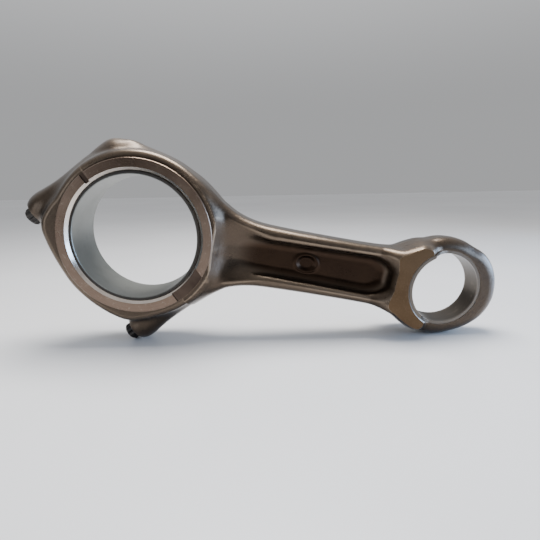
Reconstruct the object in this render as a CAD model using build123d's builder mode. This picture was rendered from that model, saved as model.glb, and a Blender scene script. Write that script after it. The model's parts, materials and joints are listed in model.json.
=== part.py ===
"""Connecting rod for a large diesel engine, with an oblique bolted big-end joint.

Frame: millimetres, +Z up. The origin is the centre of the big-end bore, half way along it.
+Y runs along both bores. +X points to the small end. The rod rests on its lower bolt head and
on its small end, so its centre line dips by LEAN degrees below +X.

Directions used below: U runs along the rod to the small end, V is square to it and points up,
B runs along the big-end bolts from the cap into the rod, and P lies in the joint face.
"""
from build123d import *
import os
from math import cos, radians, sin, sqrt

os.makedirs("parts", exist_ok=True)

# Main sizes
CENTRES = 260.0
LEAN = 10.98
HOUSING_R = 52.0
CRANKPIN_R = 49.5
THRUST_HALF = 23.0
THRUST_R = 61.8
BORE_CHAMFER = 2.6
BUSH_BORE_R = 30.0
BUSH_SEAT_R = 32.5

# Big-end ring and its relieved patches beside the joint
RING_HALF = 21.3
RING_EDGE_R = 63.6
RING_R = 69.3
RELIEF_DEPTH = 1.0
RELIEF_TOP = 3.7
RELIEF_LOW_ROD = 24.5
RELIEF_LOW_CAP = 4.2

# Big-end bolts: the upper one stands a little further out and its boss is longer
UPPER_OFFSET = 63.6
UPPER_SEAT = 58.5
LOWER_OFFSET = 62.4
LOWER_SEAT = 55.5
BOLT_R = 6.0
BOLT_REACH = 24.0
CLEAR_HOLE_R = 6.5
TAP_HOLE_R = 6.06
TAP_DEPTH = 27.0
THREAD_PITCH = 1.5
BOSS_R = 10.9
SPOT_FACE_R = 11.4
WAIST_R = 5.2
FLANGE_R = 8.4
FLANGE_HEIGHT = 2.4
HEAD_R = 7.4
HEAD_HEIGHT = 8.1

# Shank, an I-beam with a forging mark in its front pocket
SHANK_HALF = 15.5
SHANK_EDGE_R = 5.5
WEB_HALF = 5.5
POCKET_HALF = 16.3
POCKET_END = 211.5
POCKET_CORNER_R = 12.0
POCKET_DRAFT = 9.0
MARK_U = 141.5
MARK_LENGTH_R = 11.5
MARK_HEIGHT_R = 8.8
MARK_RIM = 2.3

# Small end: a full-width step on the shank side of a narrow tapering ring
EYE_R = 43.3
EYE_EDGE_R = 4.5
TIP_SPREAD = 62.5
EYE_HALF = 22.5
EYE_NARROW = 13.3
EYE_TAPER = 0.051
STEP_U = CENTRES - 17.0
COVE_U = STEP_U + 15.5

# Bearing shells
SHELL_HALF = 21.2
TANG_WIDTH = 6.0
TANG_RISE = 1.2
TANG_LENGTH = 5.0
TANG_FIT = 0.1
SHELL_EDGE = 0.5

# Reach of tools that cut right through
THROUGH = 40.0


def rod_point(u, v, w=0.0):
    """A point given along the rod, across it, and towards the front face."""
    a = radians(LEAN)
    return (u * cos(a) + v * sin(a), -w, -u * sin(a) + v * cos(a))


def joint_point(b, p, w=0.0):
    """A point given along the bolts, across the joint face, and towards the front face."""
    return rod_point((b - p) / sqrt(2), (b + p) / sqrt(2), w)


U_DIR = rod_point(1, 0)
V_DIR = rod_point(0, 1)
B_DIR = joint_point(1, 0)
P_DIR = joint_point(0, 1)

SIDE = Plane(origin=(0, 0, 0), x_dir=U_DIR, z_dir=(0, -1, 0))
PLAN = Plane(origin=(0, 0, 0), x_dir=U_DIR, z_dir=V_DIR)
JOINT_SIDE = Plane(origin=(0, 0, 0), x_dir=B_DIR, z_dir=(0, -1, 0))
JOINT_FACE = Plane(origin=(0, 0, 0), x_dir=P_DIR, z_dir=B_DIR)
BOLT_TOP = Plane(origin=joint_point(0, UPPER_OFFSET), x_dir=B_DIR, z_dir=(0, -1, 0))
BOLT_LOW = Plane(origin=joint_point(0, -LOWER_OFFSET), x_dir=B_DIR, z_dir=(0, -1, 0))
BORE_AXIS = Axis((0, 0, 0), (0, -1, 0))
BOLT_TOP_AXIS = Axis(joint_point(0, UPPER_OFFSET), B_DIR)
BOLT_LOW_AXIS = Axis(joint_point(0, -LOWER_OFFSET), B_DIR)

# Half height of the shank at stations along the rod
SHANK_EDGE = [
    (34, 54.5), (44, 51.8), (54, 46.2), (66, 37.9), (80, 30.2), (97, 25.9), (120, 24.6),
    (155, 24.2), (190, 24.0), (206, 24.8), (217, 27.8), (228, 33.2),
]


def eye_point(angle):
    """A point on the round part of the small-end outline."""
    return (CENTRES + EYE_R * cos(radians(angle)), EYE_R * sin(radians(angle)))


# Outline of the small-end tip, measured from the eye centre, which stands out as a balance pad
TIP_EDGE = [(33, 33.6), (43, 22.5), (48.4, 8.5), (49.3, -5), (44.5, -19), (33, -30.5)]

# ---------------------------------------------------------------- rod body
with BuildPart() as pocket:
    with BuildSketch(SIDE.offset(WEB_HALF)) as pocket_floor:
        with BuildLine():
            Polyline((62, 27), (88, 19), (104, POCKET_HALF), (POCKET_END, POCKET_HALF),
                     (POCKET_END, -POCKET_HALF), (104, -POCKET_HALF), (88, -19), (62, -27), close=True)
        make_face()
        fillet(pocket_floor.vertices().sort_by(SortBy.DISTANCE)[-2:], radius=POCKET_CORNER_R)
    extrude(amount=22, taper=-POCKET_DRAFT)
    with BuildSketch(PLAN) as pocket_ramp:
        with BuildLine():
            ramp = Spline((62, -22), (74, -15.6), (92, -8.3), (118, -WEB_HALF),
                          tangents=[(1, 0.3), (1, 0)])
            Polyline(ramp @ 1, (230, -WEB_HALF), (230, -40), (62, -40), (62, -22))
        make_face()
    extrude(amount=60, both=True, mode=Mode.INTERSECT)
back_pocket = pocket.part.mirror(Plane.XZ)

with BuildPart() as shank:
    with BuildSketch(SIDE) as shank_outline:
        with BuildLine():
            upper = Spline(*SHANK_EDGE, eye_point(119), tangents=[(0.98, -0.2), (0.875, 0.485)])
            roof = CenterArc((CENTRES, 0), EYE_R, start_angle=119, arc_size=-28)
            lower = Spline(*[(u, -v) for u, v in SHANK_EDGE], eye_point(-119),
                           tangents=[(0.98, 0.2), (0.875, -0.485)])
            sole = CenterArc((CENTRES, 0), EYE_R, start_angle=-119, arc_size=28)
            Line(roof @ 1, sole @ 1)
            Line(upper @ 0, lower @ 0)
        make_face()
    extrude(amount=30, both=True)
    with BuildSketch(PLAN) as shank_plan:
        with BuildLine():
            swell = Spline((34, RING_HALF - 0.1), (48, RING_HALF - 0.1), (62, 20.4), (76, 17.2),
                           (92, 15.7), (115, SHANK_HALF), tangents=[(1, 0), (1, 0)])
            flat = Line((115, SHANK_HALF), (203, SHANK_HALF))
            rise = Spline((203, SHANK_HALF), (211, 18.2), (218, EYE_HALF), tangents=[(1, 0), (1, 0.3)])
            face = Line((218, EYE_HALF), (STEP_U, EYE_HALF))
            cove = ThreePointArc((STEP_U, EYE_HALF), (STEP_U + 5.6, 15.9), (COVE_U, 13.2))
            Polyline(cove @ 1, (COVE_U, 0), (34, 0), (34, RING_HALF - 0.1))
        make_face()
        mirror(about=Plane.XZ)
    extrude(amount=80, both=True, mode=Mode.INTERSECT)
    long_edges = [
        e for e in shank.edges()
        if abs((e @ 0.5).Y) > 14 and abs(e.tangent_at(0.5).dot(Vector(V_DIR))) < 0.95
        and (e @ 0.5 - Vector(rod_point(STEP_U - 3, 0))).dot(Vector(U_DIR)) < 0
    ]
    fillet(long_edges, radius=SHANK_EDGE_R)

with BuildPart() as eye:
    with BuildSketch(SIDE) as eye_outline:
        with BuildLine():
            crown = CenterArc((CENTRES, 0), EYE_R, start_angle=TIP_SPREAD, arc_size=360 - 2 * TIP_SPREAD)
            tip = Spline(eye_point(TIP_SPREAD), *[(CENTRES + u, v) for u, v in TIP_EDGE],
                         eye_point(-TIP_SPREAD), tangents=[(0.887, -0.462), (-0.887, -0.462)])
        make_face()
    extrude(amount=20, both=True)
    with BuildSketch(PLAN) as eye_plan:
        with BuildLine():
            narrow = Line((CENTRES - 47, EYE_NARROW + 47 * EYE_TAPER),
                          (CENTRES + 55, EYE_NARROW - 55 * EYE_TAPER))
            Polyline(narrow @ 1, (CENTRES + 55, 0), (CENTRES - 47, 0), narrow @ 0)
        make_face()
        mirror(about=Plane.XZ)
    extrude(amount=60, both=True, mode=Mode.INTERSECT)
    rim = [e for e in eye.edges() if abs((e @ 0.5).Y) > 8 and e.length > 60]
    fillet(rim, radius=EYE_EDGE_R)

with BuildPart() as rod_body:
    with BuildSketch(JOINT_FACE) as ring_section:
        with BuildLine():
            crown = Spline((RING_EDGE_R, RING_HALF), (67.6, 16.5), (RING_R, 0), (67.6, -16.5),
                           (RING_EDGE_R, -RING_HALF), tangents=[(1, -0.25), (-1, -0.25)])
            Polyline(crown @ 1, (40, -RING_HALF), (40, RING_HALF), crown @ 0)
        make_face()
    revolve(axis=BORE_AXIS)
    for plane, axis in ((BOLT_TOP, BOLT_TOP_AXIS), (BOLT_LOW, BOLT_LOW_AXIS)):
        with BuildSketch(plane) as boss_section:
            with BuildLine():
                dome = Spline((21, BOSS_R), (31, 8.9), (38.5, 0), tangents=[(1, 0), (0, -1)])
                Polyline(dome @ 1, (-5, 0), (-5, BOSS_R), dome @ 0)
            make_face()
        revolve(axis=axis)
    with BuildSketch(SIDE) as shoulder:
        with BuildLine():
            Polyline((-25, 67), (-9, 71.5), (8.2, 67.5), (50, 51), (30, 40), (-25, 55), close=True)
        make_face()
    extrude(amount=11, both=True)
    add(shank.part)
    add(eye.part)
    with BuildSketch(SIDE) as thrust_outline:
        Circle(THRUST_R)
    extrude(amount=THRUST_HALF, both=True)
    split(bisect_by=JOINT_FACE, keep=Keep.TOP)
    with BuildSketch(SIDE) as bores:
        Circle(HOUSING_R)
        with Locations((CENTRES, 0)):
            Circle(BUSH_SEAT_R)
    extrude(amount=THROUGH, both=True, mode=Mode.SUBTRACT)
    with BuildSketch(JOINT_FACE) as bore_edge:
        with BuildLine():
            Polyline((HOUSING_R - 1, THRUST_HALF + 1), (HOUSING_R + BORE_CHAMFER + 1, THRUST_HALF + 1),
                     (HOUSING_R - 1, THRUST_HALF - BORE_CHAMFER - 1), close=True)
        make_face()
        mirror(about=Plane.XZ)
    revolve(axis=BORE_AXIS, mode=Mode.SUBTRACT)
    with BuildSketch(JOINT_FACE) as tapped_holes:
        with Locations((UPPER_OFFSET, 0), (-LOWER_OFFSET, 0)):
            Circle(TAP_HOLE_R)
    extrude(amount=TAP_DEPTH, mode=Mode.SUBTRACT)
    for level in (THRUST_HALF - RELIEF_DEPTH, -THRUST_HALF - 1):
        with BuildSketch(JOINT_SIDE.offset(level)) as relief:
            with Locations((RELIEF_LOW_ROD / 2, -58)):
                Rectangle(RELIEF_LOW_ROD, 26)
        extrude(amount=RELIEF_DEPTH + 1, mode=Mode.SUBTRACT)
    add(pocket.part, mode=Mode.SUBTRACT)
    add(back_pocket, mode=Mode.SUBTRACT)
    with BuildSketch(SIDE.offset(WEB_HALF - 0.5)) as forging_mark:
        with Locations((MARK_U, 0)):
            Ellipse(MARK_LENGTH_R, MARK_HEIGHT_R)
            Ellipse(MARK_LENGTH_R - MARK_RIM, MARK_HEIGHT_R - MARK_RIM, mode=Mode.SUBTRACT)
    extrude(amount=1.2)
    with BuildSketch(SIDE.offset(SHELL_HALF - 13)) as tang_seat:
        with Locations(Location((0, 0), 135)):
            with Locations((HOUSING_R, -TANG_LENGTH / 2)):
                Rectangle(2 * (TANG_RISE + TANG_FIT), TANG_LENGTH + TANG_FIT)
    extrude(amount=TANG_WIDTH + TANG_FIT, mode=Mode.SUBTRACT)
rod_body.part.label = "rod_body"
export_step(rod_body.part, "parts/rod_body.step")

# ---------------------------------------------------------------- rod cap
with BuildPart() as cap_corners:
    with BuildSketch(JOINT_SIDE) as corner_outline:
        with BuildLine():
            belly = Spline((-53.5, 50), (-59.5, 39), (-65.5, 22), (-68.6, 0), (-65.5, -22),
                           (-59.5, -39), (-53.5, -50))
            Polyline(belly @ 1, (-38, -54), (-38, 54), belly @ 0)
        make_face()
    extrude(amount=20.4, both=True)
    belly_edges = [
        e for e in cap_corners.edges()
        if e.length > 12 and abs(abs((e @ 0.5).Y) - 20.4) < 0.1
        and e.tangent_at(0.5).dot(Vector(B_DIR)) ** 2 + e.tangent_at(0).dot(Vector(B_DIR)) ** 2 > 0.01
    ]
    fillet(belly_edges, radius=5)

with BuildPart() as rod_cap:
    with BuildSketch(JOINT_FACE) as cap_section:
        with BuildLine():
            crown = Spline((RING_EDGE_R, RING_HALF), (67.6, 16.5), (RING_R, 0), (67.6, -16.5),
                           (RING_EDGE_R, -RING_HALF), tangents=[(1, -0.25), (-1, -0.25)])
            Polyline(crown @ 1, (40, -RING_HALF), (40, RING_HALF), crown @ 0)
        make_face()
    revolve(axis=BORE_AXIS)
    add(cap_corners.part)
    for plane, axis, seat in ((BOLT_TOP, BOLT_TOP_AXIS, UPPER_SEAT), (BOLT_LOW, BOLT_LOW_AXIS, LOWER_SEAT)):
        with BuildSketch(plane) as boss_section:
            with BuildLine():
                knob = Spline((0, BOSS_R), (-14, BOSS_R), (-28, 11), (16.5 - seat, 12.2), (9 - seat, 13),
                              (3.5 - seat, 12.2), (-seat, 10.2), tangents=[(-1, 0), (-0.75, -0.65)])
                Polyline(knob @ 1, (-seat, 0), (3, 0), (3, BOSS_R), knob @ 0)
            make_face()
        revolve(axis=axis)
    with BuildSketch(JOINT_SIDE) as boss_web:
        with BuildLine():
            Polyline((3, 70), (-42, 68), (-53, 58), (-53, -58), (-42, -68), (3, -70), close=True)
        make_face()
    extrude(amount=9, both=True)
    with BuildSketch(SIDE) as cap_thrust:
        Circle(THRUST_R)
    extrude(amount=THRUST_HALF, both=True)
    split(bisect_by=JOINT_FACE, keep=Keep.BOTTOM)
    with BuildSketch(SIDE) as cap_bore:
        Circle(HOUSING_R)
    extrude(amount=THROUGH, both=True, mode=Mode.SUBTRACT)
    with BuildSketch(JOINT_FACE) as cap_bore_edge:
        with BuildLine():
            Polyline((HOUSING_R - 1, THRUST_HALF + 1), (HOUSING_R + BORE_CHAMFER + 1, THRUST_HALF + 1),
                     (HOUSING_R - 1, THRUST_HALF - BORE_CHAMFER - 1), close=True)
        make_face()
        mirror(about=Plane.XZ)
    revolve(axis=BORE_AXIS, mode=Mode.SUBTRACT)
    with BuildSketch(JOINT_FACE) as clearance_holes:
        with Locations((UPPER_OFFSET, 0), (-LOWER_OFFSET, 0)):
            Circle(CLEAR_HOLE_R)
    extrude(amount=-90, mode=Mode.SUBTRACT)
    for seat, offset in ((UPPER_SEAT, UPPER_OFFSET), (LOWER_SEAT, -LOWER_OFFSET)):
        with BuildSketch(JOINT_FACE.offset(-seat)) as spot_face:
            with Locations((offset, 0)):
                Circle(SPOT_FACE_R)
        extrude(amount=-30, mode=Mode.SUBTRACT)
    for level in (THRUST_HALF - RELIEF_DEPTH, -THRUST_HALF - 1):
        with BuildSketch(JOINT_SIDE.offset(level)) as cap_relief:
            with Locations((-RELIEF_LOW_CAP / 2, -58)):
                Rectangle(RELIEF_LOW_CAP, 26)
            with Locations((-RELIEF_TOP / 2, 58)):
                Rectangle(RELIEF_TOP, 26)
        extrude(amount=RELIEF_DEPTH + 1, mode=Mode.SUBTRACT)
    with BuildSketch(SIDE.offset(-SHELL_HALF + 7)) as cap_tang_seat:
        with Locations(Location((0, 0), 135)):
            with Locations((HOUSING_R, TANG_LENGTH / 2)):
                Rectangle(2 * (TANG_RISE + TANG_FIT), TANG_LENGTH + TANG_FIT)
    extrude(amount=TANG_WIDTH + TANG_FIT, mode=Mode.SUBTRACT)
rod_cap.part.label = "rod_cap"
export_step(rod_cap.part, "parts/rod_cap.step")

# ---------------------------------------------------------------- bearing shells and bush
with BuildPart() as upper_bearing_shell:
    with BuildSketch(SIDE) as upper_ring:
        Circle(HOUSING_R)
        Circle(CRANKPIN_R, mode=Mode.SUBTRACT)
    extrude(amount=SHELL_HALF, both=True)
    chamfer(upper_bearing_shell.edges().filter_by(GeomType.CIRCLE), length=SHELL_EDGE)
    split(bisect_by=JOINT_FACE, keep=Keep.TOP)
    with BuildSketch(SIDE.offset(SHELL_HALF - 12.95)) as upper_tang:
        with Locations(Location((0, 0), 135)):
            with Locations((HOUSING_R + TANG_RISE / 2 - 0.3, -TANG_LENGTH / 2)):
                Rectangle(TANG_RISE + 0.4, TANG_LENGTH)
    extrude(amount=TANG_WIDTH)
upper_bearing_shell.part.label = "upper_bearing_shell"
export_step(upper_bearing_shell.part, "parts/upper_bearing_shell.step")

with BuildPart() as lower_bearing_shell:
    with BuildSketch(SIDE) as lower_ring:
        Circle(HOUSING_R)
        Circle(CRANKPIN_R, mode=Mode.SUBTRACT)
    extrude(amount=SHELL_HALF, both=True)
    chamfer(lower_bearing_shell.edges().filter_by(GeomType.CIRCLE), length=SHELL_EDGE)
    split(bisect_by=JOINT_FACE, keep=Keep.BOTTOM)
    with BuildSketch(SIDE.offset(-SHELL_HALF + 7.05)) as lower_tang:
        with Locations(Location((0, 0), 135)):
            with Locations((HOUSING_R + TANG_RISE / 2 - 0.3, TANG_LENGTH / 2)):
                Rectangle(TANG_RISE + 0.4, TANG_LENGTH)
    extrude(amount=TANG_WIDTH)
lower_bearing_shell.part.label = "lower_bearing_shell"
export_step(lower_bearing_shell.part, "parts/lower_bearing_shell.step")

# The bush ends follow the stepped faces of the small end, just below them.
with BuildPart() as small_end_bush:
    with BuildSketch(SIDE) as bush_ring:
        with Locations((CENTRES, 0)):
            Circle(BUSH_SEAT_R)
            Circle(BUSH_BORE_R, mode=Mode.SUBTRACT)
    extrude(amount=30, both=True)
    with BuildSketch(PLAN) as bush_plan:
        with BuildLine():
            wide = Line((CENTRES - 40, EYE_HALF - 0.4), (STEP_U, EYE_HALF - 0.4))
            hollow = ThreePointArc(wide @ 1, (STEP_U + 5.3, 15.6), (COVE_U, 12.8))
            narrow = Line(hollow @ 1, (CENTRES + 40, EYE_NARROW - 0.4 - 40 * EYE_TAPER))
            Polyline(narrow @ 1, (CENTRES + 40, 0), (CENTRES - 40, 0), wide @ 0)
        make_face()
        mirror(about=Plane.XZ)
    extrude(amount=60, both=True, mode=Mode.INTERSECT)
small_end_bush.part.label = "small_end_bush"
export_step(small_end_bush.part, "parts/small_end_bush.step")


# ---------------------------------------------------------------- big-end bolts
def bolt(plane, axis, seat):
    """One big-end bolt: tapped end in the rod, waisted shank, flange and six-lobed head in the cap."""
    flange_top = seat + FLANGE_HEIGHT
    head_end = seat + HEAD_HEIGHT
    with BuildPart() as fastener:
        with BuildSketch(plane) as profile:
            with BuildLine():
                teeth = [
                    (BOLT_REACH - 1 - k * THREAD_PITCH / 2, BOLT_R if k % 2 else BOLT_R - 0.8)
                    for k in range(29)
                ]
                Polyline((BOLT_REACH, 0), (BOLT_REACH, BOLT_R - 1.2), *teeth, (0, WAIST_R),
                         (3 - seat, WAIST_R), (-seat, WAIST_R + 1), (-seat, FLANGE_R - 0.4),
                         (-seat - 0.5, FLANGE_R), (0.8 - flange_top, FLANGE_R), (-flange_top, HEAD_R),
                         (1.1 - head_end, HEAD_R), (-head_end, HEAD_R - 1.1), (-head_end, 0), close=True)
            make_face()
        revolve(axis=axis)
        head_face = Plane(origin=plane.origin, x_dir=P_DIR, z_dir=B_DIR).offset(-head_end)
        with BuildSketch(head_face) as flutes:
            with PolarLocations(HEAD_R + 1.5, 6, start_angle=30):
                Circle(2.7)
        extrude(amount=head_end - flange_top, mode=Mode.SUBTRACT)
        with BuildSketch(head_face) as dimple:
            Circle(3)
        extrude(amount=0.8, mode=Mode.SUBTRACT)
    return fastener


bolt_upper = bolt(BOLT_TOP, BOLT_TOP_AXIS, UPPER_SEAT)
bolt_upper.part.label = "bolt_upper"
export_step(bolt_upper.part, "parts/bolt_upper.step")

bolt_lower = bolt(BOLT_LOW, BOLT_LOW_AXIS, LOWER_SEAT)
bolt_lower.part.label = "bolt_lower"
export_step(bolt_lower.part, "parts/bolt_lower.step")
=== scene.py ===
"""Looks of the connecting rod: smooth forged bodies with machined faces, bearings, bolts and a studio.

Rod coordinates, in millimetres, are used to shape the forgings: u runs from the big end to the
small end, v is square to it and points up, and w points at the viewer. The big-end joint has its
own pair: b runs along the bolts, from the cap into the rod, and p lies in the joint face.

Each forging is a signed distance, negative inside, that a fine grid turns into a mesh. Machining
then cuts that mesh, and every face gets the finish of the tool that made it.
"""

import json
import math

import bmesh
import bpy
import numpy as np
from mathutils import Matrix, Vector


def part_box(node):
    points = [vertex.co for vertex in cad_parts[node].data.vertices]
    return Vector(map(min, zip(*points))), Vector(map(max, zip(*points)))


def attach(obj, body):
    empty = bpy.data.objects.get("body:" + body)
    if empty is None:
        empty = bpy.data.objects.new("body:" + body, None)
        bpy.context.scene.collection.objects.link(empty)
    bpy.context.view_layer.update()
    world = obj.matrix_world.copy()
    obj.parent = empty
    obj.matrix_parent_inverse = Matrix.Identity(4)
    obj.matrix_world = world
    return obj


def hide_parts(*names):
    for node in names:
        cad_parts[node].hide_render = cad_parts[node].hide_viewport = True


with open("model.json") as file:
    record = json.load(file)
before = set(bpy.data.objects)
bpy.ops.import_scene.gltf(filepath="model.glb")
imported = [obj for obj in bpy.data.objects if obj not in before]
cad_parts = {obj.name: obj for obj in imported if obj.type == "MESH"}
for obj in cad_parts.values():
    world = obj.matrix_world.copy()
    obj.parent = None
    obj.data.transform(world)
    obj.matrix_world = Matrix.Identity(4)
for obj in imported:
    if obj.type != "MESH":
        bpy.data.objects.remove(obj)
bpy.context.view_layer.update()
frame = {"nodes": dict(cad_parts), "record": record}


MM = 0.001
mounts = {m["name"]: m for m in frame["record"]["mounts"]}
small_end_at = Vector(mounts["small_end_bore"]["pos_m"])

# Sizes that the looks share with the CAD model
CENTRES = small_end_at.length / MM
LEAN = math.atan2(-small_end_at.z, small_end_at.x)
CRANKPIN_R = mounts["big_end_bore"]["dims"]["r_mm"]
HOUSING_R = 52.0
THRUST_HALF = 23.0
THRUST_R = 61.8
BORE_CHAMFER = 2.6
RING_HALF = 21.3
RING_R = 69.4
RELIEF_DEPTH = 1.0
RELIEF_TOP = 3.7
RELIEF_LOW_ROD = 24.5
RELIEF_LOW_CAP = 4.2
BOLTS = {1: (63.6, 58.5), -1: (62.4, 55.5)}  # offset and seat of the upper and the lower bolt
BOSS_R = 10.9
SPOT_FACE_R = 11.4
TAP_HOLE_R = 6.06
TAP_DEPTH = 27
CLEAR_HOLE_R = 6.5
SHANK_HALF = 15.5
WEB_HALF = 5.5
BUSH_SEAT_R = 32.5
BUSH_CHAMFER = 0.7
EYE_HALF = 22.5
EYE_NARROW = 13.3
EYE_TAPER = 0.051
SHELL_HALF = 21.2
EDGE_BREAK = 0.4
JOINT_GAP = 0.04

# Sizes of the forged skin alone, whose edges are softer than the CAD model's
STOCK = 6.0  # forged past the joint, and machined away
BOSS_TOP = 34.0  # how far the bolt bosses run into the rod, along b
BOSS_FOOT = 14.0  # how far every boss runs past the joint, where machining takes it off
KNOB_SEAT = 55.5  # the bolt seat that KNOB_EDGE is drawn for
KNOB_STOCK = 3.5  # forged past a bolt's seat, and machined away
CREST_TOP = 73.2  # the upper boss's crest: its flat top along p,
CREST_SLOPE = (0.367, 0.930)  # the way its long slope faces in (u, v),
CREST_REACH = 65.2  # how far that slope is from the bore's axis,
CREST_LOW = 58  # and where it ends in v
SHANK_START = 20  # inside the ring
SHANK_STOP = 19.5  # short of the small end's axis, at mid height
SHANK_STOP_LEAN = 5.5  # how much sooner the shank stops at its upper edge
RING_FLARE = (62, 84)  # the shank thickens towards the big end between these distances from its axis,
RISE_AT_RING = 4.4  # by so much on each side,
EYE_FLARE = (200, 219)  # and towards the small end between these stations,
RISE_AT_EYE = 8.6  # by so much
POCKET_FADE = (112, 68)  # where the pocket's sides start and end to lie back
POCKET_END = 211.0
MARK_AT = 141.5
MARK_R = 7.3
MARK_STRETCH = 1.3  # how much longer than high the forging mark is
MARK_RAISED = 0.9
MARK_SUNK = 1.5
BLOCK_HALF = 34.9  # half height of the small end's full-width block
BLOCK_DROP = 1.7
BLOCK_STOP = 15.8  # short of the small end's axis
BLOCK_LEAN = 0.05

# Half height of the shank, and of its pocket, at stations along the rod
SHANK_EDGE = [
    (20, 56), (34, 54.5), (44, 51.8), (54, 46.5), (66, 38.4), (80, 31.1), (97, 27.0), (120, 25.7),
    (155, 25.3), (190, 25.4), (206, 26.2), (217, 28.8), (228, 33.8), (240, 39), (262, 41),
]
POCKET_EDGE = [(50, 13.5), (80, 13.4), (108, 13.8), (150, 14.4), (185, 15.2), (215, 15.4)]

# How far the pocket's floor lies from mid width, by distance from the big end's axis
POCKET_FLOOR = [
    (57, 30), (62, 22), (66, 17.2), (70, 14.0), (76, 11.2), (84, 9.0),
    (96, 7.2), (112, 6.0), (135, 5.5), (215, 5.5),
]

# Radius of the small-end outline by angle in degrees, with the pad at the tip
EYE_EDGE = [
    (-180, 43.3), (-75, 43.3), (-62, 43.4), (-43, 45.4), (-23, 48.3), (-6, 49.5),
    (10, 49.2), (28, 48.4), (46, 46.6), (62, 43.6), (75, 43.3), (180, 43.3),
]

# Radius of the cap's outline by angle in degrees, from its middle towards the upper and the lower bolt
CAP_EDGE_HIGH = [
    (0, 68.6), (12, 68.8), (22, 70.4), (32, 73.2), (40, 76), (46, 76.3), (54, 73.5), (64, 69.8), (90, 69.4),
]
CAP_EDGE_LOW = [
    (0, 68.6), (12, 68.7), (24, 69.6), (34, 71), (42, 72.4), (48, 72.6), (56, 71.2), (66, 69.6), (90, 69.4),
]

# Radius of a cap boss at distances below the joint face
KNOB_EDGE = [(-4, 10.9), (14, 10.9), (28, 11.1), (38, 12.0), (46, 12.9), (52, 12.4), (57, 10.4), (62, 7)]

# The grid that each forging is found on: its low and high corners in (u, v, w), and its step
ROD_GRID = (-61, -61, -29), (315, 84, 29)
CAP_GRID = (-98, -98, -29), (61, 61, 29)
GRID_STEP = 1.0
GRID_SLABS = 24
SLIVER = 1e-6  # in metres: what is narrower than this after machining is dropped

# How far cutting tools reach, so that each clears what it cuts
PAST_OUTLINE, PAST_WIDTH = 130, 60  # the blocks that part rod and cap: in the joint face, and in w
RELIEF_FROM, RELIEF_TO, RELIEF_PAST = 30, 90, 30  # the reliefs' mill: from and to in p, and in w
FACING_FROM, FACING_TO, FACING_PAST = (200, -80), (330, 80), 40  # the small end's: in (u, v), and in w
PAST_JOINT = 5
DRILL_START, DRILL_END, SPOT_FACE_END = 2, 70, 90  # from the joint, along b


# ---------------------------------------------------------------- shape helpers
def curve(x, points):
    """A smooth curve through a few points, flat beyond the first and last."""
    xs = np.array([p[0] for p in points], float)
    ys = np.array([p[1] for p in points], float)
    secant = np.diff(ys) / np.diff(xs)
    slope = np.concatenate([[0.0], (ys[2:] - ys[:-2]) / (xs[2:] - xs[:-2]), [0.0]])
    slope[0], slope[-1] = secant[0], secant[-1]
    x = np.clip(x, xs[0], xs[-1])
    i = np.clip(np.searchsorted(xs, x, side="right") - 1, 0, len(xs) - 2)
    step = xs[i + 1] - xs[i]
    t = (x - xs[i]) / step
    return (
        (1 + 2 * t) * (1 - t) ** 2 * ys[i] + t * (1 - t) ** 2 * step * slope[i]
        + t * t * (3 - 2 * t) * ys[i + 1] - t * t * (1 - t) * step * slope[i + 1]
    )


def ease(x, start, end):
    """Rises smoothly from 0 to 1 as x goes from start to end."""
    t = np.clip((x - start) / (end - start), 0, 1)
    return t * t * (3 - 2 * t)


def both(a, b, r):
    """The overlap of two solids, given as signed distances, with its edge rounded to radius r."""
    return np.minimum(np.maximum(a, b), -r) + np.hypot(np.maximum(a + r, 0), np.maximum(b + r, 0))


def either(a, b, r):
    """Two solids joined, with a fillet of radius r in the corner between them."""
    return -both(-a, -b, r)


def joint_axes(u, v):
    """(b, p) for points given as (u, v)."""
    return (u + v) / math.sqrt(2), (v - u) / math.sqrt(2)


# ---------------------------------------------------------------- the forgings
def big_end_ring(u, v, w, edge=RING_R):
    """The ring round the crankpin, slightly crowned, with an outline that may swell."""
    return both(np.hypot(u, v) - edge + 0.07 * np.abs(w), np.abs(w) - RING_HALF, 5.0)


def small_eye(u, v, w):
    """The small end: a full-width block on the shank side and a narrow tapering ring at the tip."""
    us = u - CENTRES
    outline = np.hypot(us, v) - curve(np.degrees(np.arctan2(v, us)), EYE_EDGE) + 0.05 * np.abs(w)
    narrow = both(outline, np.abs(w) - EYE_NARROW + EYE_TAPER * us, 9.0)
    plan = both(outline, np.abs(v + BLOCK_DROP) - BLOCK_HALF, 8.0)
    plan = both(plan, us + BLOCK_STOP + BLOCK_LEAN * v, 6.0)
    block = both(plan, np.abs(w) - EYE_HALF - 1.6, 7.5)
    return either(narrow, block, 9.5)


def shank(u, v, w):
    """The I-beam before its pockets, thickening into both ends."""
    half = curve(u, SHANK_EDGE)
    slope = (curve(u + 1, SHANK_EDGE) - curve(u - 1, SHANK_EDGE)) / 2
    near_ring = np.clip((RING_FLARE[1] - np.hypot(u, v)) / (RING_FLARE[1] - RING_FLARE[0]), 0, 1)
    near_eye = ease(u, *EYE_FLARE)
    taper = 0.03 + 0.12 * near_eye * ease(v, 0, 22)
    outline = (np.abs(v) - half) / np.sqrt(1 + slope ** 2) + taper * np.abs(w)
    rise = RISE_AT_RING * near_ring ** 2.2 + RISE_AT_EYE * near_eye
    body = both(outline, np.abs(w) - SHANK_HALF - rise, 6.5)
    far = u - CENTRES + SHANK_STOP + SHANK_STOP_LEAN * np.clip(v / 20, -1, 1)
    return both(body, both(SHANK_START - u, far, 3.0), 6.0)


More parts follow.
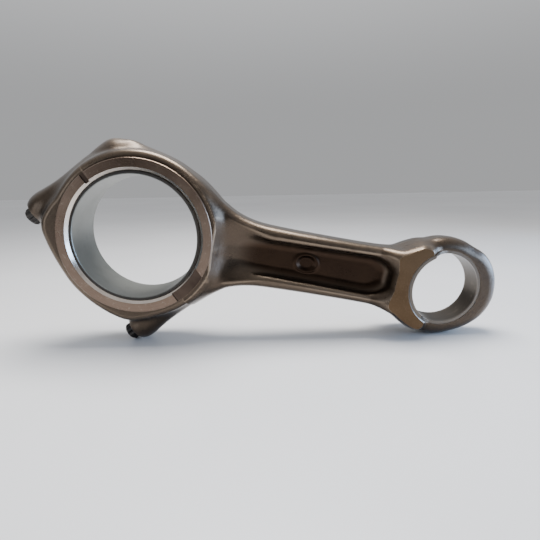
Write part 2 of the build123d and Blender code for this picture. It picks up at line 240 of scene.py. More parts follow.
def shank_pocket(u, v, w):
    """The hollow on each side of the web, with the oval forging mark standing in the front one.

    Towards the big end the floor rises and the sides lie back, so that the hollow fades out.
    """
    depth = np.abs(w)
    floor = curve(np.hypot(u, v), POCKET_FLOOR)
    spread = 0.18 + 0.9 * ease(u, *POCKET_FADE)
    wall = (np.abs(v) - curve(u, POCKET_EDGE) - spread * (depth - floor)) / np.sqrt(1 + spread ** 2)
    end = (u - POCKET_END - 0.17 * (depth - WEB_HALF)) / 1.5
    oval = np.hypot((u - MARK_AT) / MARK_STRETCH, v) - MARK_R
    mark = MARK_RAISED * np.exp(-(oval / 1.3) ** 2) - MARK_SUNK * np.clip(-oval / 3, 0, 1) ** 2
    return both(both(wall, end, 13.0), floor + mark * (w > 0) - depth, 7.0)


def under_pads(u, v, w):
    """Keeps forged skin below the turned thrust pads."""
    return np.abs(w) - RING_HALF - 0.6 * np.maximum(np.hypot(u, v) - THRUST_R - 2.0, 0)


def rod_forging(u, v, w):
    """The rod as forged, before machining."""
    b, p = joint_axes(u, v)
    solid = either(big_end_ring(u, v, w), shank(u, v, w), 7.0)
    for side, (offset, _) in BOLTS.items():
        column = both(np.hypot(p - side * offset, w) - BOSS_R, b - BOSS_TOP, 9.5)
        solid = either(solid, both(column, -BOSS_FOOT - b, 2.0), 9.0)
    crest = both(p - CREST_TOP, CREST_SLOPE[0] * u + CREST_SLOPE[1] * v - CREST_REACH, 16.0)
    crest = both(both(crest, np.abs(w) - BOSS_R, 9.0), CREST_LOW - v, 8.0)
    solid = either(solid, crest, 5.0)
    solid = either(solid, small_eye(u, v, w), 8.0)
    pocket_edge_r = 3.2 + 3.0 * ease(u, 112, 70) + 2.0 * ease(u, 192, 208)
    solid = both(solid, -shank_pocket(u, v, w), pocket_edge_r)
    solid = np.maximum(solid, under_pads(u, v, w))
    return np.maximum(solid, -STOCK - b)


def cap_forging(u, v, w):
    """The cap as forged, before machining."""
    b, p = joint_axes(u, v)
    angle = np.degrees(np.arctan2(np.abs(p), -b))
    edge = np.where(p > 0, curve(angle, CAP_EDGE_HIGH), curve(angle, CAP_EDGE_LOW))
    solid = big_end_ring(u, v, w, edge)
    for side, (offset, seat) in BOLTS.items():
        column = np.hypot(p - side * offset, w) - curve(-b * KNOB_SEAT / seat, KNOB_EDGE)
        column = both(both(column, b - BOSS_FOOT, 2.0), -b - seat - KNOB_STOCK, 3.0)
        solid = either(solid, column, 7.0 + 1.5 * side)
    return np.maximum(np.maximum(solid, under_pads(u, v, w)), b - STOCK)


# ---------------------------------------------------------------- meshes
def to_frame(points):
    """Rod coordinates in millimetres to the shared frame in metres."""
    u, v, w = points.T
    c, s = math.cos(LEAN), math.sin(LEAN)
    return np.stack([u * c + v * s, -w, v * c - u * s], 1) * MM


def grid_values(solid, axes):
    """The solid's signed distance on a grid, worked out slab by slab to save memory."""
    value = np.empty([len(a) for a in axes], np.float32)
    start = 0
    for u in np.array_split(axes[0], GRID_SLABS):
        value[start:start + len(u)] = solid(*np.meshgrid(u, axes[1], axes[2], indexing="ij"))
        start += len(u)
    return value


def crossing_points(value, at):
    """The middle of the surface's crossings with the edges of each grid cell, in cells."""
    total = np.zeros((len(at), 3))
    hits = np.zeros(len(at))
    for axis, da, db in np.ndindex(3, 2, 2):
        start = np.zeros(3, int)
        start[(axis + 1) % 3], start[(axis + 2) % 3] = da, db
        end = start.copy()
        end[axis] = 1
        one = value[tuple((at + start).T)]
        two = value[tuple((at + end).T)]
        crosses = (one < 0) != (two < 0)
        point = (at + start).astype(float)
        point[:, axis] += np.where(crosses, one / np.where(crosses, one - two, 1), 0)
        total += point * crosses[:, None]
        hits += crosses
    return total / hits[:, None]


def surface_net(solid, low, high, step):
    """Vertices and quads of the surface where solid(u, v, w) is zero, found on a regular grid."""
    axes = [np.arange(low[i], high[i] + step, step) for i in range(3)]
    value = grid_values(solid, axes)
    inside = value < 0
    shape = inside.shape
    cells = [n - 1 for n in shape]
    count = np.zeros(cells, np.int8)
    for i, j, k in np.ndindex(2, 2, 2):
        count += inside[i:i + cells[0], j:j + cells[1], k:k + cells[2]]
    crossed = (count > 0) & (count < 8)
    index = np.full(cells, -1, np.int64)
    index[crossed] = np.arange(crossed.sum())
    vertices = np.array(low) + crossing_points(value, np.argwhere(crossed)) * step
    faces = []
    for axis in range(3):
        one, two = [slice(None)] * 3, [slice(None)] * 3
        one[axis], two[axis] = slice(0, -1), slice(1, None)
        a, b = inside[tuple(one)], inside[tuple(two)]
        edge = np.argwhere(a != b)
        side1, side2 = (axis + 1) % 3, (axis + 2) % 3
        keep = (edge[:, side1] > 0) & (edge[:, side2] > 0)
        keep &= (edge[:, side1] < shape[side1] - 1) & (edge[:, side2] < shape[side2] - 1)
        edge = edge[keep]
        quad = []
        for d1, d2 in ((-1, -1), (0, -1), (0, 0), (-1, 0)):
            cell = edge.copy()
            cell[:, side1] += d1
            cell[:, side2] += d2
            quad.append(index[tuple(cell.T)])
        quad = np.stack(quad, 1)
        flip = ~a[tuple(edge.T)]
        quad[flip] = quad[flip][:, ::-1]
        faces.append(quad)
    return vertices, np.concatenate(faces)


def settle(solid, points, rounds=4):
    """Moves points onto the surface where solid is zero, by Newton's steps of limited length."""
    h = 0.05
    for _ in range(rounds):
        u, v, w = points.T
        f = solid(u, v, w)
        slope = np.stack([
            solid(u + h, v, w) - solid(u - h, v, w),
            solid(u, v + h, w) - solid(u, v - h, w),
            solid(u, v, w + h) - solid(u, v, w - h),
        ], 1) / (2 * h)
        size = np.maximum((slope ** 2).sum(1), 0.25)
        points = points - slope * np.clip(f / size, -0.6, 0.6)[:, None]
    return points


def mesh_object(name, vertices, faces):
    """A mesh object from an array of points in the shared frame and a list of faces."""
    mesh = bpy.data.meshes.new(name)
    mesh.from_pydata(vertices.tolist(), [], faces)
    mesh.update()
    made = bpy.data.objects.new(name, mesh)
    bpy.context.scene.collection.objects.link(made)
    return made


def forged(name, solid, low, high):
    """A forging's mesh."""
    vertices, faces = surface_net(solid, low, high, GRID_STEP)
    return mesh_object(name, to_frame(settle(solid, vertices)), faces.tolist())


def turned(name, outline, centre, axis, segments=96):
    """A closed solid of revolution: outline is (distance along the axis, radius) in millimetres.

    centre is a point in the frame in metres, and axis a direction.
    """
    axis = Vector(axis).normalized()
    side = axis.orthogonal().normalized()
    other = axis.cross(side)
    vertices, faces, rings = [], [], []
    for along, radius in outline:
        if radius < 1e-6:
            rings.append([len(vertices)] * segments)
            vertices.append(Vector(centre) + axis * along * MM)
        else:
            rings.append(list(range(len(vertices), len(vertices) + segments)))
            for k in range(segments):
                turn = 2 * math.pi * k / segments
                spoke = side * math.cos(turn) + other * math.sin(turn)
                vertices.append(Vector(centre) + axis * along * MM + spoke * radius * MM)
    for a, b in zip(rings, rings[1:] + rings[:1]):
        if a[0] == a[1] and b[0] == b[1]:
            continue
        for k in range(segments):
            m = (k + 1) % segments
            face = [a[k], a[m], b[m], b[k]]
            faces.append([x for j, x in enumerate(face) if x not in face[:j]])
    made = mesh_object(name, np.array(vertices), faces)
    outward(made)
    return made


def outward(made):
    """Turns a closed mesh's faces outwards."""
    work = bmesh.new()
    work.from_mesh(made.data)
    bmesh.ops.recalc_face_normals(work, faces=work.faces)
    work.to_mesh(made.data)
    work.free()


def block(name, low, high, place):
    """A box between two corners in the coordinates that place turns into the frame."""
    ends = low, high
    vertices = np.array([(ends[i][0], ends[j][1], ends[k][2]) for i, j, k in np.ndindex(2, 2, 2)], float)
    faces = [(0, 1, 3, 2), (4, 6, 7, 5), (0, 4, 5, 1), (2, 3, 7, 6), (0, 2, 6, 4), (1, 5, 7, 3)]
    made = mesh_object(name, place(vertices), faces)
    outward(made)
    return made


def from_joint(points):
    """(b, p, w) in millimetres to the shared frame."""
    b, p, w = points.T
    return to_frame(np.stack([(b - p) / math.sqrt(2), (b + p) / math.sqrt(2), w], 1))


def cut(target, tool, how="DIFFERENCE"):
    """Cuts tool from target, or joins it on, and deletes the tool."""
    step = target.modifiers.new("cut", "BOOLEAN")
    step.operation = how
    step.object = tool
    step.solver = "MANIFOLD"
    dg = bpy.context.evaluated_depsgraph_get()
    mesh = bpy.data.meshes.new_from_object(target.evaluated_get(dg))
    target.modifiers.remove(step)
    target.data = mesh
    bpy.data.objects.remove(tool)
    return target


def clean(made):
    """Drops the slivers that cutting leaves, and splits many-sided faces so that none fold over."""
    work = bmesh.new()
    work.from_mesh(made.data)
    bmesh.ops.remove_doubles(work, verts=work.verts, dist=SLIVER)
    bmesh.ops.dissolve_degenerate(work, edges=work.edges, dist=SLIVER)
    many_sided = [face for face in work.faces if len(face.verts) > 4]
    bmesh.ops.triangulate(work, faces=many_sided, quad_method="BEAUTY", ngon_method="BEAUTY")
    bmesh.ops.dissolve_degenerate(work, edges=work.edges, dist=SLIVER)
    work.to_mesh(made.data)
    work.free()


bore_axis = Vector((0, -1, 0))
bolt_axis = Vector(from_joint(np.array([[1.0, 0, 0]]))[0]).normalized()


# ---------------------------------------------------------------- machining
def bored(target, radius, half, chamfer, centre):
    """Bores target square through, with a chamfer at both mouths that the tool carries on past them."""
    run = 12
    wide = radius + chamfer + run
    tool = turned("bore", [
        (-half - run, 0), (-half - run, wide), (-half + chamfer, radius),
        (half - chamfer, radius), (half + run, wide), (half + run, 0),
    ], centre, bore_axis, 160)
    return cut(target, tool)


def add_thrust_pads(target):
    """Joins the raised flat rings that locate the big end on its crank web."""
    tool = turned("pads", [
        (-THRUST_HALF, 0), (-THRUST_HALF, THRUST_R - EDGE_BREAK), (EDGE_BREAK - THRUST_HALF, THRUST_R),
        (THRUST_HALF - EDGE_BREAK, THRUST_R), (THRUST_HALF, THRUST_R - EDGE_BREAK), (THRUST_HALF, 0),
    ], (0, 0, 0), bore_axis, 160)
    return cut(target, tool, "UNION")


def relieve(target, side, low, high):
    """Mills the thrust pads lower beside the joint: side is the sign of p, low and high limits of b."""
    p_low, p_high = sorted((side * RELIEF_FROM, side * RELIEF_TO))
    for face in (-1, 1):
        w_low, w_high = sorted((face * (THRUST_HALF - RELIEF_DEPTH), face * RELIEF_PAST))
        cut(target, block("relief", (low, p_low, w_low), (high, p_high, w_high), from_joint))


def drill(target, side, start, end, radius):
    """Drills along a bolt's axis between two values of b: side is the sign of p."""
    centre = from_joint(np.array([[0.0, side * BOLTS[side][0], 0.0]]))[0]
    low, high = sorted((start, end))
    cut(target, turned("drill", [(low, 0), (low, radius), (high, radius), (high, 0)], centre, bolt_axis, 48))


rod_piece = forged("rod_forging", rod_forging, *ROD_GRID)
add_thrust_pads(rod_piece)
cut(rod_piece, block("cap_side", (-PAST_OUTLINE, -PAST_OUTLINE, -PAST_WIDTH),
                     (JOINT_GAP, PAST_OUTLINE, PAST_WIDTH), from_joint))
bored(rod_piece, HOUSING_R, THRUST_HALF, BORE_CHAMFER, (0, 0, 0))
relieve(rod_piece, -1, -PAST_JOINT, RELIEF_LOW_ROD)
for sign in (-1, 1):
    low, high = sorted((sign * EYE_HALF, sign * FACING_PAST))
    cut(rod_piece, block("eye_face", (*FACING_FROM, low), (*FACING_TO, high), to_frame))
    drill(rod_piece, sign, -DRILL_START, TAP_DEPTH, TAP_HOLE_R)
bored(rod_piece, BUSH_SEAT_R, EYE_HALF, BUSH_CHAMFER, small_end_at)

cap_piece = forged("cap_forging", cap_forging, *CAP_GRID)
add_thrust_pads(cap_piece)
cut(cap_piece, block("rod_side", (-JOINT_GAP, -PAST_OUTLINE, -PAST_WIDTH),
                     (PAST_OUTLINE, PAST_OUTLINE, PAST_WIDTH), from_joint))
bored(cap_piece, HOUSING_R, THRUST_HALF, BORE_CHAMFER, (0, 0, 0))
relieve(cap_piece, 1, -RELIEF_TOP, PAST_JOINT)
relieve(cap_piece, -1, -RELIEF_LOW_CAP, PAST_JOINT)
for sign in (-1, 1):
    drill(cap_piece, sign, -DRILL_END, DRILL_START, CLEAR_HOLE_R)
    drill(cap_piece, sign, -SPOT_FACE_END, -BOLTS[sign][1], SPOT_FACE_R)

for piece in (rod_piece, cap_piece):
    clean(piece)


# ---------------------------------------------------------------- finishes of the faces
FORGED, THRUST, BRIGHT, BORED, EYE_FACE, MILLED = range(6)

# How far a face's centre may lie from where it was cut, in millimetres: on planes, and on rounds,
# whose facets cut across the true curve
ON_PLANE = 0.02
ON_ROUND = 0.1


def from_frame(points):
    """The shared frame in metres to rod coordinates in millimetres."""
    x, y, z = points.T / MM
    c, s = math.cos(LEAN), math.sin(LEAN)
    return np.stack([x * c - z * s, x * s + z * c, -y], 1)


def gradient(solid, points):
    """The direction out of a solid at each point, not scaled to unit length."""
    steps = np.eye(3) * 0.3
    return np.stack([solid(*(points + d).T) - solid(*(points - d).T) for d in steps], 1)


def turned_normals(points, centres, normals, origin, axis):
    """Smooth normals of faces that were cut by turning about an axis."""
    axis = np.array(axis, float)

    def spokes(places):
        away = places - origin
        away = away - (away @ axis)[:, None] * axis
        return away / np.maximum(np.linalg.norm(away, axis=1), 1e-9)[:, None]

    outwards = (normals * spokes(centres)).sum(1)
    return outwards[:, None] * spokes(points) + (normals @ axis)[:, None] * axis


def face_kinds(centre, normal):
    """How each face was made, from where it lies and which way it looks. Later rules win."""
    u, v, w = centre.T
    b, p = joint_axes(u, v)
    facing_joint = np.abs(joint_axes(normal[:, 0], normal[:, 1])[0]) > 0.99
    flat = np.abs(normal[:, 2]) > 0.99
    slanting = np.abs(np.abs(normal[:, 2]) - math.sqrt(0.5)) < 0.05
    r, rs = np.hypot(u, v), np.hypot(u - CENTRES, v)
    depth = np.abs(w)
    in_pad = flat & (r < THRUST_R + ON_ROUND)
    kind = np.full(len(centre), FORGED)
    kind[~flat & (rs < BUSH_SEAT_R + 0.8)] = BORED
    kind[flat & (np.abs(depth - EYE_HALF) < ON_PLANE) & (rs < 60)] = EYE_FACE
    kind[~flat & (np.abs(r - THRUST_R) < 0.5) & (depth > RING_HALF - 0.5)] = THRUST
    kind[in_pad & (depth > THRUST_HALF - ON_PLANE)] = THRUST
    kind[in_pad & (np.abs(depth - THRUST_HALF + RELIEF_DEPTH) < ON_PLANE)] = MILLED
    kind[~flat & (r < HOUSING_R + BORE_CHAMFER + ON_ROUND)] = BORED
    kind[slanting & (r < HOUSING_R + BORE_CHAMFER)] = BRIGHT
    for side, (offset, seat) in BOLTS.items():
        drilled = (b < TAP_DEPTH + ON_ROUND) & (b > -seat - ON_ROUND)
        kind[drilled & (np.hypot(p - side * offset, w) < CLEAR_HOLE_R + ON_ROUND)] = BORED
        kind[(np.abs(b + seat) < 0.05) & facing_joint & (p * side > 0)] = MILLED
    kind[(np.abs(b) < 0.1) & facing_joint] = MILLED
    return kind


def turned_faces(centre, kind):
    """Sets of faces that were turned, each with a point on its axis and the axis's direction."""
    u, v, w = centre.T
    p = joint_axes(u, v)[1]
    in_big_end = np.hypot(u, v) < THRUST_R + 0.6
    in_small_end = np.hypot(u - CENTRES, v) < BUSH_SEAT_R + 0.8
    along_bores = (0, 0, 1)
    yield in_big_end & np.isin(kind, (THRUST, BRIGHT, BORED)), np.zeros(3), along_bores
    yield in_small_end & (kind == BORED), np.array([CENTRES, 0, 0]), along_bores
    half = math.sqrt(0.5)
    for side, (offset, _) in BOLTS.items():
        in_hole = np.hypot(p - side * offset, w) < CLEAR_HOLE_R + ON_ROUND
        yield in_hole & (kind == BORED), np.array([-half, half, 0]) * side * offset, (half, half, 0)


def bend(solid, points):
    """How sharply a forging's skin bends outwards at each point: positive on its edges."""
    step = 0.8
    total = -6 * solid(*points.T)
    for move in np.concatenate([np.eye(3), -np.eye(3)]) * step:
        total += solid(*(points + move).T)
    return np.clip(total / step ** 2, -0.5, 0.5)


def pocket_share(points):
    """How much each point belongs to the shank's pockets, from 0 to 1."""
    u, v, w = points.T
    across = ease(np.abs(v) - curve(u, POCKET_EDGE), 3, 0) * ease(np.abs(w), 10, 6.5)
    return across * (ease(u, 64, 88) * ease(u, 212, 207))


def read(source, key, width, kind=float):
    """One property of a mesh's faces, corners or vertices, as an array."""
    values = np.empty(len(source) * width, kind)
    source.foreach_get(key, values)
    return values.reshape(-1, width) if width > 1 else values


def finish_faces(target, solid):
    """Sorts a forging's faces by how each was made, with true normals and a measure of edge wear."""
    mesh = target.data
    mesh.materials.clear()
    count = len(mesh.polygons)
    centre = from_frame(read(mesh.polygons, "center", 3))
    normal = from_frame(read(mesh.polygons, "normal", 3) * MM)
    points = from_frame(read(mesh.vertices, "co", 3))
    of_vertex = read(mesh.loops, "vertex_index", 1, np.int32)
    of_face = np.repeat(np.arange(count), read(mesh.polygons, "loop_total", 1, np.int32))
    kind = face_kinds(centre, normal)
    mesh.polygons.foreach_set("material_index", kind.astype(np.int32))
    mesh.polygons.foreach_set("use_smooth", np.ones(count, bool))

    shade = gradient(solid, points)[of_vertex]
    made = (kind != FORGED)[of_face]
    shade[made] = normal[of_face][made]
    for faces, origin, axis in turned_faces(centre, kind):
        chosen = faces[of_face]
        at, face = of_vertex[chosen], of_face[chosen]
        shade[chosen] = turned_normals(points[at], centre[face], normal[face], origin, axis)
    shade = to_frame(shade)
    mesh.normals_split_custom_set(shade / np.maximum(np.linalg.norm(shade, axis=1), 1e-12)[:, None])

    lowest, highest = np.full(len(points), 99), np.full(len(points), -1)
    np.minimum.at(lowest, of_vertex, kind[of_face])
    np.maximum.at(highest, of_vertex, kind[of_face])
    where_finishes_meet = lowest != highest
    hollow = pocket_share(points)
    wear = (bend(solid, points) + 0.3 * where_finishes_meet) * (1 - hollow)
    for name, values in (("edge", wear), ("hollow", hollow)):
        mesh.attributes.new(name, "FLOAT", "POINT").data.foreach_set("value", values.astype(np.float32))


finish_faces(rod_piece, rod_forging)
finish_faces(cap_piece, cap_forging)


# ---------------------------------------------------------------- materials
class Finish:
    """A material under construction, with its shader nodes. Texture scales are per metre."""

    def __init__(self, name):
        self.material = bpy.data.materials.new(name)
        self.material.use_nodes = True
        self.tree = self.material.node_tree
        self.bsdf = self.tree.nodes["Principled BSDF"]
        self.place = self.node("TexCoord").outputs["Object"]

    def node(self, kind, inputs=None, **settings):
        made = self.tree.nodes.new("ShaderNode" + kind)
        for key, value in settings.items():
            setattr(made, key, value)
        for key, value in (inputs or {}).items():
            self.put(made.inputs[key], value)
        return made

    def put(self, socket, value):
        if isinstance(value, bpy.types.NodeSocket):
            self.tree.links.new(value, socket)
        else:
            socket.default_value = value

    def math(self, how, a, b=0.0):
        return self.node("Math", {0: a, 1: b}, operation=how).outputs[0]

    def noise(self, scale, detail=3.0, rough=0.55, where=None):
        where = self.place if where is None else where
        made = self.node("TexNoise", {"Vector": where, "Scale": scale, "Detail": detail, "Roughness": rough})
        return made.outputs["Fac"]

    def span(self, value, low, high, out_low=0.0, out_high=1.0):
        made = self.node("MapRange", {"Value": value, "From Min": low, "From Max": high,
                                      "To Min": out_low, "To Max": out_high})
        return made.outputs["Result"]

    def mix(self, amount, a, b):
        made = self.node("Mix", data_type="RGBA")
        for socket, value in ((made.inputs["Factor"], amount), (made.inputs[6], a), (made.inputs[7], b)):
            self.put(socket, value)
        return made.outputs[2]

    def attribute(self, name):
        """A measure that finish_faces stored on the mesh."""
        return self.node("Attribute", attribute_name=name).outputs["Fac"]

    def stretched(self, by):
        """The place on the part, scaled by axis, so that noise there runs in lines."""
        return self.node("VectorMath", {0: self.place, 1: by}, operation="MULTIPLY").outputs[0]

    def radius(self, centre):
        """Distance from an axis along y through centre, and the place along it, in millimetres."""
        shift = self.node("VectorMath", {0: self.place, 1: tuple(centre)}, operation="SUBTRACT").outputs[0]
        flat = self.node("VectorMath", {0: shift, 1: (1000, 0, 1000)}, operation="MULTIPLY").outputs[0]
        along = self.node("VectorMath", {0: shift, 1: (0, 1000, 0)}, operation="DOT_PRODUCT")
        return self.node("VectorMath", {0: flat}, operation="LENGTH").outputs["Value"], along.outputs["Value"]

    def turning(self, centre, pitch):
        """Fine concentric tool marks round an axis along y: noise that changes only with radius."""
        radius, along = self.radius(centre)
        line = self.node("CombineXYZ", {"X": radius, "Y": along}).outputs[0]
        return self.noise(1 / pitch, 2.0, 0.5, line)

    def bump(self, *layers):
        """Layers of (height, distance in millimetres)."""
        normal = None
        for height, depth in layers:
            made = self.node("Bump", {"Height": height, "Distance": depth * MM, "Strength": 1.0})
            if normal is not None:
                self.put(made.inputs["Normal"], normal)
            normal = made.outputs["Normal"]
        self.put(self.bsdf.inputs["Normal"], normal)

    def done(self, colour, roughness, metallic=1.0, **more):
        self.put(self.bsdf.inputs["Base Color"], colour)
        self.put(self.bsdf.inputs["Roughness"], roughness)
        self.put(self.bsdf.inputs["Metallic"], metallic)
        for key, value in more.items():
            self.put(self.bsdf.inputs[key.replace("_", " ")], value)
        return self.material


def rgb(r, g, b):
    return (r, g, b, 1.0)


def forged_finish():
    """Shot-blasted, heat-tinted forged steel: bronze-brown, paler on its edges, darker in its pockets as
    forge scale and painted shade.
    """
    f = Finish("forged_steel_blasted")
    broad, medium, fine = f.noise(14, 3), f.noise(75, 4, 0.6), f.noise(1500, 3, 0.6)
    dents = f.node("TexVoronoi", {"Vector": f.place, "Scale": 520.0}, feature="SMOOTH_F1").outputs["Distance"]
    tone = f.math("ADD", f.span(broad, 0.3, 0.7, 0, 0.55), f.span(medium, 0.3, 0.72, 0, 0.45))
    brown = f.mix(tone, rgb(0.036, 0.024, 0.015), rgb(0.070, 0.048, 0.031))
    # scale: the darker colour for the pockets, part forge scale and part painted shade for those recesses
    scale = f.mix(tone, rgb(0.016, 0.008, 0.004), rgb(0.032, 0.017, 0.009))
    hollow = f.attribute("hollow")
    speck = f.mix(f.span(fine, 0.45, 0.72, 0, 0.4), brown, rgb(0.125, 0.087, 0.058))
    # The pockets take the dark colour, part forge scale and part painted shade.
    speck = f.mix(hollow, speck, scale)
    rubbed = f.math("MULTIPLY", f.span(f.attribute("edge"), 0.10, 0.42), 0.45)
    worn = f.mix(rubbed, speck, rgb(0.36, 0.27, 0.19))
    stain = f.span(f.noise(38, 5, 0.65), 0.60, 0.72, 0, 0.45)
    colour = f.mix(stain, worn, rgb(0.05, 0.032, 0.022))
    rough = f.math("ADD", f.span(medium, 0.3, 0.7, 0.25, 0.37), f.span(fine, 0.3, 0.7, -0.03, 0.06))
    open_skin = f.math("SUBTRACT", 1.0, f.math("MULTIPLY", hollow, 0.8))
    layers = ((f.noise(260, 3, 0.6), 0.07), (dents, 0.09), (fine, 0.035))
    f.bump(*((f.math("MULTIPLY", height, open_skin), depth) for height, depth in layers))
    film = f.math("MULTIPLY", open_skin, 0.35)
    return f.done(colour, rough, 0.93, Coat_Weight=film, Coat_Roughness=0.30)


def thrust_finish():
    """The turned thrust face, oiled and browned, with concentric tool marks."""
    f = Finish("thrust_face_turned")
    marks, broad = f.turning((0, 0, 0), 0.55), f.noise(22, 4, 0.6)
    tone = f.mix(f.span(broad, 0.35, 0.66), rgb(0.135, 0.094, 0.070), rgb(0.200, 0.147, 0.112))
    colour = f.mix(f.span(marks, 0.35, 0.65, 0, 0.35), tone, rgb(0.30, 0.22, 0.17))
    scuffs = f.span(f.noise(420, 4, 0.7), 0.58, 0.66, 0, 0.30)
    f.bump((marks, 0.012), (f.noise(900, 2), 0.006))
    return f.done(f.mix(scuffs, colour, rgb(0.40, 0.33, 0.27)), f.span(broad, 0.3, 0.7, 0.26, 0.36), 0.97)


def steel_finish(name, dark, light, rough, pitch):
    """Bare machined steel with tool marks round the big end's axis."""
    f = Finish(name)
    marks, broad, grime = f.turning((0, 0, 0), pitch), f.noise(30, 3), f.noise(160, 4, 0.65)
    colour = f.mix(f.span(broad, 0.3, 0.7), dark, light)
    colour = f.mix(f.span(grime, 0.55, 0.75, 0, 0.35), colour, rgb(*(0.5 * x for x in dark[:3])))
    f.bump((marks, 0.01), (f.noise(1100, 2), 0.005))
    return f.done(colour, f.span(marks, 0.3, 0.7, rough - 0.04, rough + 0.07), 1.0)


def eye_face_finish():
    """The small end's ground faces: smooth bronze with faint straight grinding lines."""
    f = Finish("eye_face_ground")
    lay = f.stretched((1, 1, 0.05))
    lines, broad = f.noise(1800, 2, 0.5, lay), f.noise(26, 3)
    colour = f.mix(f.span(broad, 0.35, 0.65), rgb(0.076, 0.046, 0.024), rgb(0.108, 0.069, 0.039))
    colour = f.mix(f.span(f.noise(700, 3, 0.6), 0.5, 0.7, 0, 0.3), colour, rgb(0.15, 0.10, 0.062))
    f.bump((lines, 0.010), (f.noise(1400, 2), 0.012))
    return f.done(colour, f.span(lines, 0.3, 0.7, 0.34, 0.44), 0.95)


def milled_finish():
    """Milled steel beside the joint and under the bolt heads, with an even fine lay."""
    f = Finish("joint_milled")
    lay = f.stretched((1, 0.05, 1))
    lines, broad = f.noise(1500, 2, 0.5, lay), f.noise(35, 3)
    colour = f.mix(f.span(broad, 0.35, 0.65), rgb(0.050, 0.035, 0.028), rgb(0.090, 0.065, 0.050))
    f.bump((lines, 0.015), (f.noise(800, 2), 0.006))
    return f.done(colour, f.span(lines, 0.3, 0.7, 0.30, 0.42), 0.95)


def shell_finish():
    """A bearing shell: satin grey running surface, and end faces of dark steel that are darkened further as
    painted shade.
    """
    f = Finish("bearing_shell_satin")
    radius, along = f.radius((0, 0, 0))
    marks, broad = f.turning((0, 0, 0), 0.3), f.noise(20, 3)
    lining = f.mix(f.span(broad, 0.35, 0.65), rgb(0.155, 0.158, 0.144), rgb(0.210, 0.214, 0.196))
    streak = f.span(f.noise(90, 4, 0.6), 0.5, 0.72, 0, 0.25)
    lining = f.mix(streak, lining, rgb(0.10, 0.10, 0.09))
    # Near-black end faces: dark steel backing, darkened further as painted shade for the recess beside the
    # housing
    backing_and_painted_shade = f.mix(f.span(broad, 0.3, 0.7), rgb(0.030, 0.027, 0.025), rgb(0.065, 0.056, 0.048))
    end = f.math("MULTIPLY", f.math("GREATER_THAN", radius, CRANKPIN_R + 0.55),
                 f.math("GREATER_THAN", f.math("ABSOLUTE", along), SHELL_HALF - 0.6))
    f.bump((marks, 0.004), (f.noise(1000, 2), 0.004))
    rough = f.math("ADD", f.span(end, 0, 1, 0.36, 0.55), f.span(marks, 0.3, 0.7, -0.03, 0.04))
    return f.done(f.mix(end, lining, backing_and_painted_shade), rough, 0.7)


def bush_finish():
    """The small-end bush: dull bronze-grey, with a painted highlight near its ends."""
    f = Finish("bush_bronze_grey")
    along = f.radius(small_end_at)[1]
    marks, broad = f.turning(small_end_at, 0.35), f.noise(24, 3)
    lining = f.mix(f.span(broad, 0.35, 0.65), rgb(0.050, 0.040, 0.031), rgb(0.080, 0.066, 0.052))
    # A lighter band near the bush's ends: a painted highlight where its mouths catch the light
    painted_mouth_highlight = f.span(f.math("ABSOLUTE", along), EYE_NARROW - 4.0, EYE_NARROW - 2.5)
    lining = f.mix(f.math("MULTIPLY", painted_mouth_highlight, 0.25), lining, rgb(0.38, 0.34, 0.30))
    colour = f.mix(f.span(f.noise(130, 4, 0.65), 0.55, 0.72, 0, 0.4), lining, rgb(0.16, 0.13, 0.10))
    f.bump((marks, 0.006), (f.noise(1000, 2), 0.006))
    return f.done(colour, f.span(marks, 0.3, 0.7, 0.28, 0.40), 1.0)


def bolt_finish():
    """Black-oxide steel with rubbed edges and an oily film."""
    f = Finish("bolt_black_oxide")
    broad, fine = f.noise(120, 4, 0.6), f.noise(1600, 3, 0.6)
    colour = f.mix(f.span(broad, 0.35, 0.65), rgb(0.016, 0.015, 0.015), rgb(0.045, 0.041, 0.038))
    rubbed = f.span(f.noise(340, 4, 0.7), 0.58, 0.72, 0, 0.5)
    f.bump((broad, 0.02), (fine, 0.01))
    return f.done(f.mix(rubbed, colour, rgb(0.11, 0.10, 0.09)), f.span(fine, 0.3, 0.7, 0.30, 0.46), 0.9)


finishes = [  # in the order of the kinds of face
    forged_finish(),
    thrust_finish(),
    steel_finish("chamfer_bright", rgb(0.50, 0.44, 0.385), rgb(0.68, 0.61, 0.54), 0.17, 0.3),
    steel_finish("bored_steel", rgb(0.20, 0.17, 0.15), rgb(0.30, 0.27, 0.24), 0.32, 0.4),
    eye_face_finish(),
    milled_finish(),
]
for piece, body, node in ((rod_piece, "rod", "rod_body"), (cap_piece, "cap", "rod_cap")):
    for finish in finishes:
        piece.data.materials.append(finish)
    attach(piece, body)
    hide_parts(node)

for names, finish in (
    (("upper_bearing_shell", "lower_bearing_shell"), shell_finish()),
    (("small_end_bush",), bush_finish()),
    (("bolt_upper", "bolt_lower"), bolt_finish()),
):
    for name in names:
        for place in frame["nodes"][name].material_slots:
            place.material = finish


# ---------------------------------------------------------------- studio
FLOOR_Z = min(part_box(name)[0].z for name in frame["nodes"])
FLOOR_HALF = 4


def floor_finish():
    """A plain pale floor with a soft sheen."""
    f = Finish("floor_pale")
    tone = f.mix(f.span(f.noise(2.5, 3), 0.3, 0.7), rgb(0.62, 0.62, 0.63), rgb(0.68, 0.68, 0.69))
    return f.done(tone, 0.32, 0.0)


corners = [(x * FLOOR_HALF, y * FLOOR_HALF, FLOOR_Z) for x, y in ((-1, -1), (1, -1), (1, 1), (-1, 1))]
floor = mesh_object("floor", np.array(corners, float), [(0, 1, 2, 3)])
floor.data.materials.append(floor_finish())

world = bpy.data.worlds.new("studio")
bpy.context.scene.world = world
world.use_nodes = True
sky = world.node_tree
way = sky.nodes.new("ShaderNodeSeparateXYZ")
sky.links.new(sky.nodes.new("ShaderNodeTexCoord").outputs["Generated"], way.inputs[0])


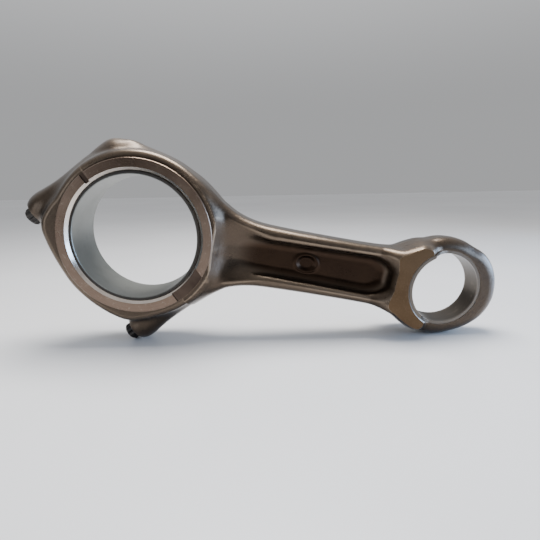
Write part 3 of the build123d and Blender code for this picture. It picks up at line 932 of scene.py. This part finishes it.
def sky_ramp(socket, low, high, dark, light):
    """Brightness that changes smoothly with one part of the direction."""
    ramp = sky.nodes.new("ShaderNodeMapRange")
    ramp.interpolation_type = "SMOOTHSTEP"
    sky.links.new(socket, ramp.inputs["Value"])
    for key, value in (("From Min", low), ("From Max", high), ("To Min", dark), ("To Max", light)):
        ramp.inputs[key].default_value = value
    return ramp.outputs["Result"]


# The room is brighter behind the part than in front of it, and brightest overhead
glow = sky.nodes.new("ShaderNodeMath")
sky.links.new(sky_ramp(way.outputs["Y"], -0.5, 0.35, 0.09, 0.42), glow.inputs[0])
sky.links.new(sky_ramp(way.outputs["Z"], 0.15, 0.70, 0.0, 0.55), glow.inputs[1])
sky.links.new(glow.outputs[0], sky.nodes["Background"].inputs["Strength"])
sky.nodes["Background"].inputs["Color"].default_value = rgb(0.97, 0.98, 1.0)


def soft_light(name, at, target, width, height, power, colour, spread=180):
    """A rectangular soft light that faces a point, and shines over an angle of spread degrees."""
    data = bpy.data.lights.new(name, "AREA")
    data.shape = "RECTANGLE"
    data.size, data.size_y = width, height
    data.energy = power
    data.color = colour
    data.spread = math.radians(spread)
    made = bpy.data.objects.new(name, data)
    made.location = at
    made.rotation_euler = (Vector(target) - Vector(at)).to_track_quat("-Z", "Y").to_euler()
    bpy.context.scene.collection.objects.link(made)


middle = (0.10, 0.0, -0.01)
soft_light("key_above", (0.13, 0.13, 0.78), middle, 0.6, 0.4, 18, (1.0, 0.985, 0.96))
soft_light("window_right", (1.0, -0.15, 0.10), middle, 1.1, 0.35, 6.0, (0.45, 0.66, 1.0), spread=110)
soft_light("side_left", (-0.75, -0.75, 0.15), middle, 0.5, 0.5, 0.7, (0.86, 0.92, 1.0), spread=110)

# Camera: a short lens close to the part, looking slightly down, as fitted to the photo (radians)
CAMERA_AT = (0.1034, -0.3363, 0.0408)
CAMERA_DOWN = 0.2173
CAMERA_TURN = 0.0131
CAMERA_ROLL = -0.0182
CAMERA_LENS = 26.37

ahead = Vector((math.sin(CAMERA_TURN) * math.cos(CAMERA_DOWN),
                math.cos(CAMERA_TURN) * math.cos(CAMERA_DOWN), -math.sin(CAMERA_DOWN)))
right = Vector((math.cos(CAMERA_TURN), -math.sin(CAMERA_TURN), 0))
up = right.cross(ahead)
across = right * math.cos(CAMERA_ROLL) + up * math.sin(CAMERA_ROLL)
upright = up * math.cos(CAMERA_ROLL) - right * math.sin(CAMERA_ROLL)
lens = bpy.data.cameras.new("camera")
lens.lens = CAMERA_LENS
lens.sensor_width = 36
lens.clip_start = 0.01
camera = bpy.data.objects.new("camera", lens)
camera.matrix_world = Matrix.Translation(CAMERA_AT) @ Matrix((across, upright, -ahead)).transposed().to_4x4()
bpy.context.scene.collection.objects.link(camera)
bpy.context.scene.camera = camera
